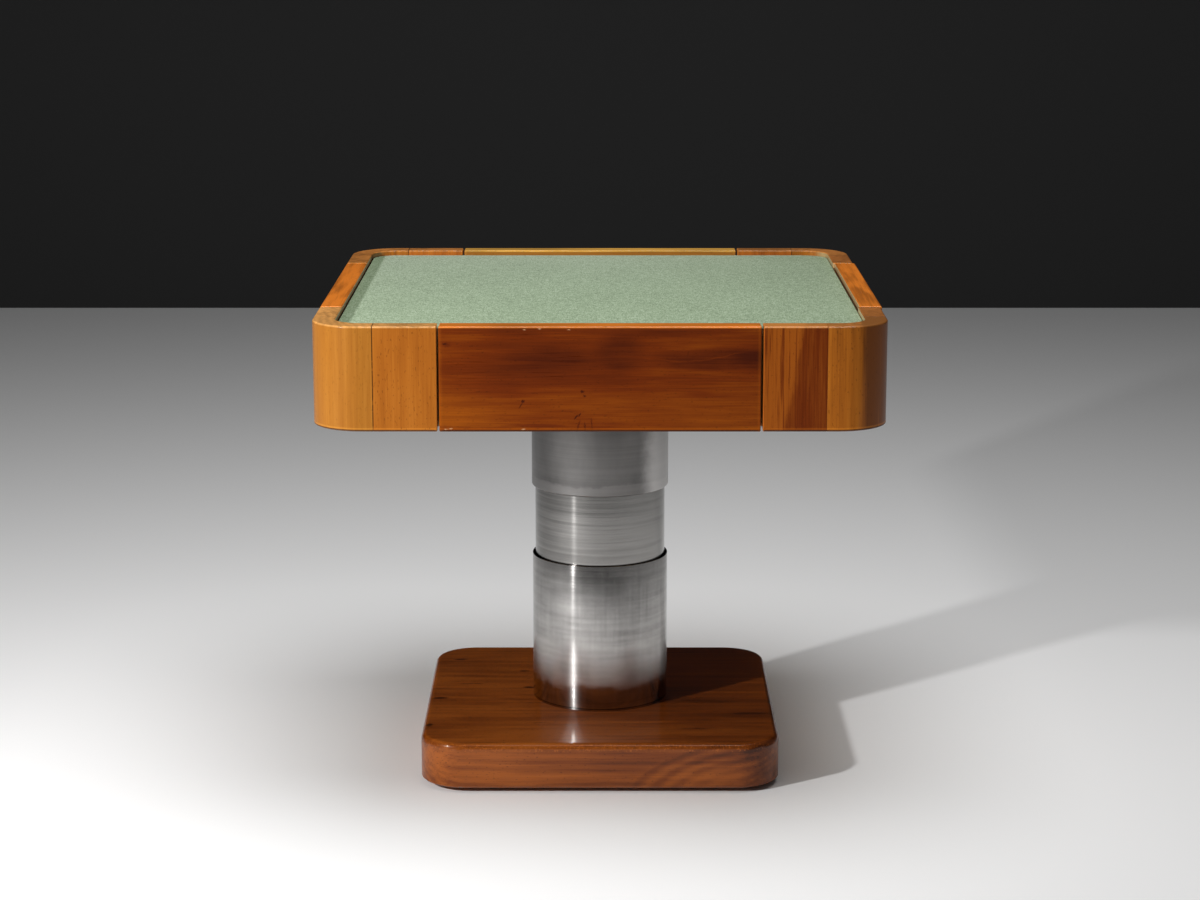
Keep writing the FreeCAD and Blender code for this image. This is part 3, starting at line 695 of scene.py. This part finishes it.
def felt_material():
    r = Recipe("playing_cloth")
    warp = r.noise(r.place, (120, 220, 1), 3.0, 0.7)
    weft = r.noise(r.place, (700, 70, 1), 3.0, 0.7, (5, 5, 5))
    speck = r.noise(r.place, (560, 150, 1), 4.0, 0.8, (2, 2, 2))
    worn = r.noise(r.place, (4, 4, 1), 3.0, 0.6)
    weave = warp * 0.5 + weft * 0.5
    level = (weave - 0.5) * 2.6 + (speck - 0.5) * 2.2 + (worn - 0.5) * 0.3 + 0.5
    stops = [(0.1, (0.135, 0.190, 0.104)), (0.5, (0.238, 0.325, 0.190)), (0.9, (0.378, 0.475, 0.325))]
    colour = r.ramp(level, stops)
    normal = r.bump(weave * 0.6 + speck * 0.4, 0.0004, 0.5)
    return r.finish(Base_Color=colour, Roughness=0.92, Normal=normal, Specular_IOR_Level=0.2,
                    Sheen_Weight=0.15, Sheen_Roughness=0.5)


bpy.ops.object.select_all(action="DESELECT")
bpy.ops.mesh.primitive_plane_add(size=felt_side, location=(felt_shift, 0, felt_high.z))
felt = bpy.context.object
edit(felt, "VERT")
bpy.ops.mesh.select_all(action="SELECT")
bpy.ops.mesh.bevel(offset=felt_corner, segments=14, affect="VERTICES")
done()
add_modifier(felt, "SOLIDIFY", thickness=felt_thickness, offset=-1)
add_modifier(felt, "BEVEL", width=felt_arris, segments=3, limit_method="ANGLE", angle_limit=radians(60))
smooth(felt, 40)
settle(felt, "playing_cloth", "top", felt_material(), "felt", "playing_felt")

# %% [markdown]
# Inside the top the boards are plywood, and the drawer boxes are pale beech. These shapes are
# right as packed, so they only get a finish.

# %% Inner pieces
beech_tones = ((0.42, 0.24, 0.12), (0.56, 0.36, 0.19), (0.68, 0.47, 0.27))
ply_tones = ((0.34, 0.20, 0.095), (0.47, 0.30, 0.15), (0.58, 0.40, 0.22))
beech = {
    along: wood("beech_" + along, along, beech_tones, gloss=0.5, coat=0.0, ring_width=0.006)
    for along in "XY"
}
plywood = wood("plywood_board", "X", ply_tones, gloss=0.6, coat=0.0, ring_width=0.02)
steel = turned_metal("bright_steel", (0.50, 0.50, 0.51), roughness=0.3, groove=500,
                     groove_depth=0.00003, ridged=0.15, smear=0.1, aniso=0.0)


def plain_finish(name, colour, roughness, metallic=0.0):
    r = Recipe(name)
    speck = r.noise(r.place, (300, 300, 300), 3.0, 0.6)
    shade = r.blend(speck, tuple(0.8 * c for c in colour), tuple(1.15 * c for c in colour))
    rough = roughness + (speck - 0.5) * 0.15
    normal = r.bump(speck, 0.0001, 0.3)
    return r.finish(Base_Color=shade, Roughness=rough, Normal=normal, Metallic=metallic)


nylon = plain_finish("pale_nylon", (0.72, 0.70, 0.64), 0.45)
bronze = plain_finish("bearing_bronze", (0.42, 0.25, 0.09), 0.35, 1.0)
zinc = plain_finish("zinc_plate", (0.55, 0.55, 0.53), 0.4, 1.0)
pad = plain_finish("foot_pad", (0.05, 0.045, 0.04), 0.7)

finishes = {
    plywood: ["deck_board", "playing_board", "floor_boards", "bay_walls", "core_walls"],
    steel: ["column_flange", "column_tube", "guide_rods", "carrier_plate", "spindle", "top_plate"],
    bronze: ["spindle_nut"],
    zinc: ["flange_bolts"],
    nylon: ["middle_glide_pads", "upper_glide_pads"],
    pad: ["feet"],
    beech["X"]: ["corner_battens", "drawer_runners", "stop_battens"],
    beech["Y"]: [],
}
for side, across, along in (("front", "X", "Y"), ("back", "X", "Y"), ("left", "Y", "X"), ("right", "Y", "X")):
    finishes[beech[across]].append(side + "_drawer_back")
    finishes[beech[along]].append(side + "_drawer_sides")
    finishes[plywood].append(side + "_drawer_bottom")
for material, group in finishes.items():
    for node in group:
        nodes[node].data.materials.clear()
        nodes[node].data.materials.append(material)
print("inner pieces", sum(len(group) for group in finishes.values()))

# %% [markdown]
# The stage is a pale floor and a dark grey wall. It isn't part of the table. The floor takes the
# table's shadow and shows in the metal. Floor and wall can be looked through from behind, so that
# the table can be seen from the back and from below as well.

# %% Floor and wall
near, far, half_width, wall_height = -2.4, 4.6, 7.0, 5.0


def stage_material(name, grey):
    """A plain grey that is clear when it is looked at from behind."""
    r = Recipe(name)
    material = r.finish(Base_Color=(grey, grey, grey, 1), Roughness=0.9, Specular_IOR_Level=0.1)
    clear = r.node("ShaderNodeBsdfTransparent")
    back = r.node("ShaderNodeNewGeometry").part("Backfacing")
    both = r.node("ShaderNodeMixShader", (), {0: back, 1: r.surface, 2: clear})
    r.tree.links.new(both.socket, r.output.inputs["Surface"])
    return material


def stage_plane(name, corners, material):
    bpy.ops.object.select_all(action="DESELECT")
    bpy.ops.mesh.primitive_plane_add(size=2)
    plane = bpy.context.object
    for vertex, corner in zip(plane.data.vertices, corners):
        vertex.co = corner
    plane.name = name
    plane.data.materials.append(material)


near_edge = [(-half_width, near, 0), (half_width, near, 0)]
far_edge = [(-half_width, far, 0), (half_width, far, 0)]
wall_top = [(-half_width, far, wall_height), (half_width, far, wall_height)]
stage_plane("floor", near_edge + far_edge, stage_material("floor_pale", 0.93))
stage_plane("wall", far_edge + wall_top, stage_material("wall_grey", 0.035))
print("floor", 2 * half_width, "by", far - near, "wall", wall_height)

# %% [markdown]
# One lamp low at the front left draws the long highlight down the sleeves and throws the column's
# shadow to the right, as in the photograph. A large soft lamp overhead and an even grey sky fill
# the rest, at a level where a colour renders about as it is written.

# %% Lamps and sky
def lamp(name, place, target, size, power):
    bpy.ops.object.light_add(type="AREA", location=place)
    made = bpy.context.object
    made.name = name
    made.data.shape, made.data.size, made.data.energy = "DISK", size, power
    made.rotation_euler = (Vector(target) - Vector(place)).to_track_quat("-Z", "Y").to_euler()


key_bearing, key_angle, key_distance, aim_height = radians(47), radians(19.5), 2.6, 0.4
key_place = Vector((-sin(key_bearing), -cos(key_bearing), 0)) * key_distance * cos(key_angle)
key_place.z = aim_height + key_distance * sin(key_angle)
lamp("key", key_place, (0, 0, aim_height), size=0.11, power=49)
lamp("overhead", (0.3, -0.4, 3.6), (0, 0, 0), size=2.6, power=80)

sky_grey = 0.075
world = bpy.data.worlds.new("studio")
bpy.context.scene.world = world
world.use_nodes = True
world.node_tree.nodes["Background"].inputs[0].default_value = (sky_grey, sky_grey, sky_grey, 1)
bpy.context.scene.view_settings.view_transform = "Standard"
print("key lamp at", [round(c, 3) for c in key_place])

# %% [markdown]
# The camera stands in front of the table, a little above it, with a long lens. Its place and
# tilt were worked out from the edges of the top and the foot in the photograph.

# %% Camera
lens_mm, sensor_mm = 85.43, 36.0
camera_place, camera_pitch = (0.0, -4.5178, 1.4288), radians(90 - 11.763)
bpy.ops.object.camera_add(location=camera_place, rotation=(camera_pitch, 0, 0))
camera = bpy.context.object
camera.data.lens, camera.data.sensor_width = lens_mm, sensor_mm
bpy.context.scene.camera = camera
